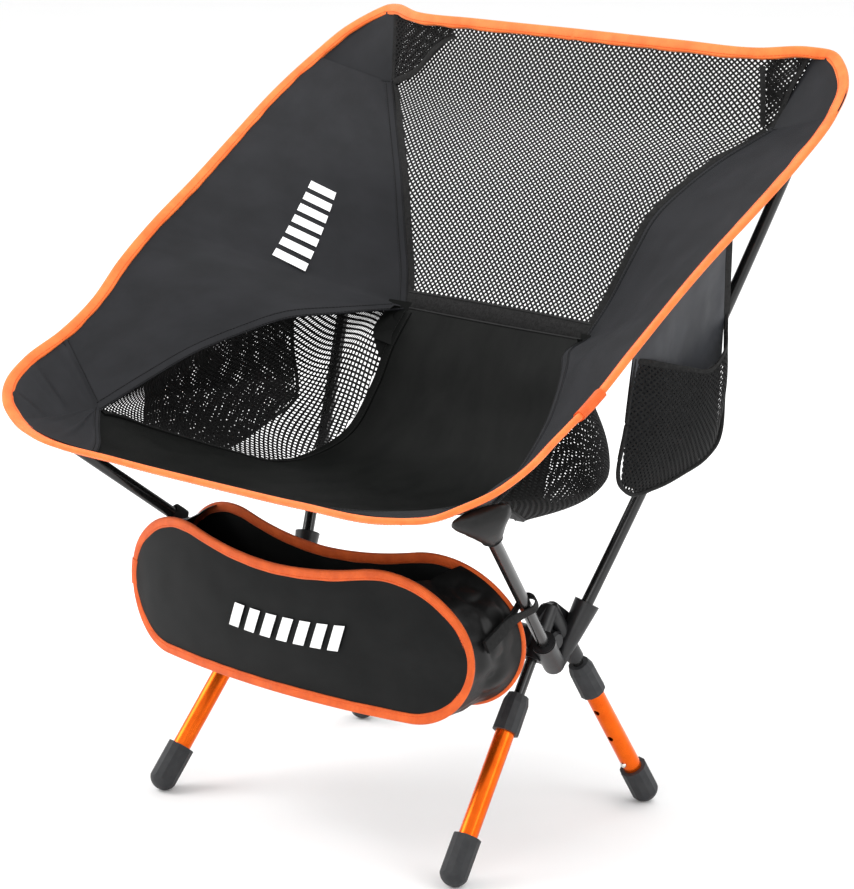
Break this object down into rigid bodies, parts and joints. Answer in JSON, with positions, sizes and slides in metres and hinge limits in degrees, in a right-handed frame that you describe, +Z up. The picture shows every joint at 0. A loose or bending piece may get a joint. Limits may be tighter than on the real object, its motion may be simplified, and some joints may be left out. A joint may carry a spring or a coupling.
{
  "type": "ultralight backpacking chair",
  "caption": "Low folding camp chair: a woven and mesh sling with bound edges on a pole frame with hubs, telescoping legs with snap buttons, side pockets and a hanging carry bag.",
  "frame": {"origin": "on the ground, in the middle of the chair's box", "axes": "+Z up; the sitter faces -Y; +X is the sitter's left"},
  "size_m": [0.6046, 0.5175, 0.6658],
  "materials": {
    "hub_plastic": "moulded nylon, fine grain",
    "collar_plastic": "moulded nylon, fine grain",
    "foot_plastic": "dull rubber",
    "black_tube": "satin black anodised aluminium",
    "orange_tube": "glossy orange anodised aluminium",
    "bare_metal": "bright steel",
    "ferrule_metal": "satin",
    "cord": "braided elastic",
    "seat_cloth": "plain black woven polyester",
    "wing_cloth": "charcoal woven polyester",
    "mesh_cloth": "open black mesh",
    "tape": "orange binding tape",
    "webbing": "black webbing"
  },
  "bodies": {
    "frame": {"hub_left": "hub_plastic", "hub_right": "hub_plastic", "crossbar": "black_tube", "crossbar_shock_cord": "cord", "front_pole_left": "black_tube", "rear_pole_lower_left": "black_tube", "rear_pole_upper_left": "black_tube", "front_pole_right": "black_tube", "rear_pole_lower_right": "black_tube", "rear_pole_upper_right": "black_tube", "rear_pole_ferrules": "ferrule_metal", "pole_tips": "foot_plastic", "seat_pole_shock_cords": "cord", "leg_shock_cords": "cord", "seat_panel": "seat_cloth", "back_mesh": "mesh_cloth", "wing_left": "wing_cloth", "wing_right": "wing_cloth", "side_mesh_left": "mesh_cloth", "side_mesh_right": "mesh_cloth", "front_corner_patches": "wing_cloth", "front_pole_pockets": "wing_cloth", "rear_corner_patches": "wing_cloth", "rear_pole_pockets": "wing_cloth", "edge_binding": "tape", "phone_pocket_left": "mesh_cloth", "mesh_pocket_right": "mesh_cloth", "bag_hanging_straps": "webbing"},
    "front_leg_left": {"front_leg_pole_left": "black_tube", "front_leg_bush_left": "collar_plastic", "front_button_spring_left": "bare_metal"},
    "front_foot_tube_left": {"front_leg_tube_left": "orange_tube", "front_leg_collar_left": "collar_plastic", "front_foot_left": "foot_plastic"},
    "front_button_left": {"front_snap_button_left": "bare_metal"},
    "rear_leg_left": {"rear_leg_pole_left": "black_tube", "rear_leg_bush_left": "collar_plastic", "rear_button_spring_left": "bare_metal"},
    "rear_foot_tube_left": {"rear_leg_tube_left": "orange_tube", "rear_leg_collar_left": "collar_plastic", "rear_foot_left": "foot_plastic"},
    "rear_button_left": {"rear_snap_button_left": "bare_metal"},
    "front_leg_right": {"front_leg_pole_right": "black_tube", "front_leg_bush_right": "collar_plastic", "front_button_spring_right": "bare_metal"},
    "front_foot_tube_right": {"front_leg_tube_right": "orange_tube", "front_leg_collar_right": "collar_plastic", "front_foot_right": "foot_plastic"},
    "front_button_right": {"front_snap_button_right": "bare_metal"},
    "rear_leg_right": {"rear_leg_pole_right": "black_tube", "rear_leg_bush_right": "collar_plastic", "rear_button_spring_right": "bare_metal"},
    "rear_foot_tube_right": {"rear_leg_tube_right": "orange_tube", "rear_leg_collar_right": "collar_plastic", "rear_foot_right": "foot_plastic"},
    "rear_button_right": {"rear_snap_button_right": "bare_metal"},
    "bag": {"bag_front_panel": "seat_cloth", "bag_back_panel": "seat_cloth", "bag_gusset": "seat_cloth", "bag_bindings": "tape"}
  },
  "joints": [
    {"name": "front_leg_pull_left", "type": "slide", "parent": "frame", "child": "front_leg_left", "axis": [0.0886, -0.6152, -0.7833], "range_m": [0, 0.024], "stiffness_N_per_m": 400, "springref_m": -0.01},
    {"name": "front_leg_height_left", "type": "slide", "parent": "front_leg_left", "child": "front_foot_tube_left", "axis": [0.0886, -0.6152, -0.7833], "range_m": [0, 0.065], "deforming": ["front_snap_button_left", "front_button_spring_left"]},
    {"name": "front_button_press_left", "type": "slide", "parent": "front_leg_left", "child": "front_button_left", "axis": [-0.0691, -0.7883, 0.6113], "range_m": [0, 0.0033], "stiffness_N_per_m": 1500, "springref_m": -0.002, "deforming": ["front_button_spring_left"]},
    {"name": "rear_leg_pull_left", "type": "slide", "parent": "frame", "child": "rear_leg_left", "axis": [0.0828, 0.5103, -0.856], "range_m": [0, 0.034], "stiffness_N_per_m": 400, "springref_m": -0.01},
    {"name": "rear_leg_height_left", "type": "slide", "parent": "rear_leg_left", "child": "rear_foot_tube_left", "axis": [0.0828, 0.5103, -0.856], "range_m": [0, 0.065], "deforming": ["rear_snap_button_left", "rear_button_spring_left"]},
    {"name": "rear_button_press_left", "type": "slide", "parent": "rear_leg_left", "child": "rear_button_left", "axis": [-0.0491, 0.86, 0.508], "range_m": [0, 0.0033], "stiffness_N_per_m": 1500, "springref_m": -0.002, "deforming": ["rear_button_spring_left"]},
    {"name": "front_leg_pull_right", "type": "slide", "parent": "frame", "child": "front_leg_right", "axis": [-0.0886, -0.6152, -0.7833], "range_m": [0, 0.024], "stiffness_N_per_m": 400, "springref_m": -0.01},
    {"name": "front_leg_height_right", "type": "slide", "parent": "front_leg_right", "child": "front_foot_tube_right", "axis": [-0.0886, -0.6152, -0.7833], "range_m": [0, 0.065], "deforming": ["front_snap_button_right", "front_button_spring_right"]},
    {"name": "front_button_press_right", "type": "slide", "parent": "front_leg_right", "child": "front_button_right", "axis": [0.0691, -0.7883, 0.6113], "range_m": [0, 0.0033], "stiffness_N_per_m": 1500, "springref_m": -0.002, "deforming": ["front_button_spring_right"]},
    {"name": "rear_leg_pull_right", "type": "slide", "parent": "frame", "child": "rear_leg_right", "axis": [-0.0828, 0.5103, -0.856], "range_m": [0, 0.034], "stiffness_N_per_m": 400, "springref_m": -0.01},
    {"name": "rear_leg_height_right", "type": "slide", "parent": "rear_leg_right", "child": "rear_foot_tube_right", "axis": [-0.0828, 0.5103, -0.856], "range_m": [0, 0.065], "deforming": ["rear_snap_button_right", "rear_button_spring_right"]},
    {"name": "rear_button_press_right", "type": "slide", "parent": "rear_leg_right", "child": "rear_button_right", "axis": [0.0491, 0.86, 0.508], "range_m": [0, 0.0033], "stiffness_N_per_m": 1500, "springref_m": -0.002, "deforming": ["rear_button_spring_right"]},
    {"name": "bag_swing", "type": "hinge", "parent": "frame", "child": "bag", "pos_m": [0, -0.0849, 0.2394], "axis": [1, 0, 0], "range_deg": [-20, 4]}
  ]
}
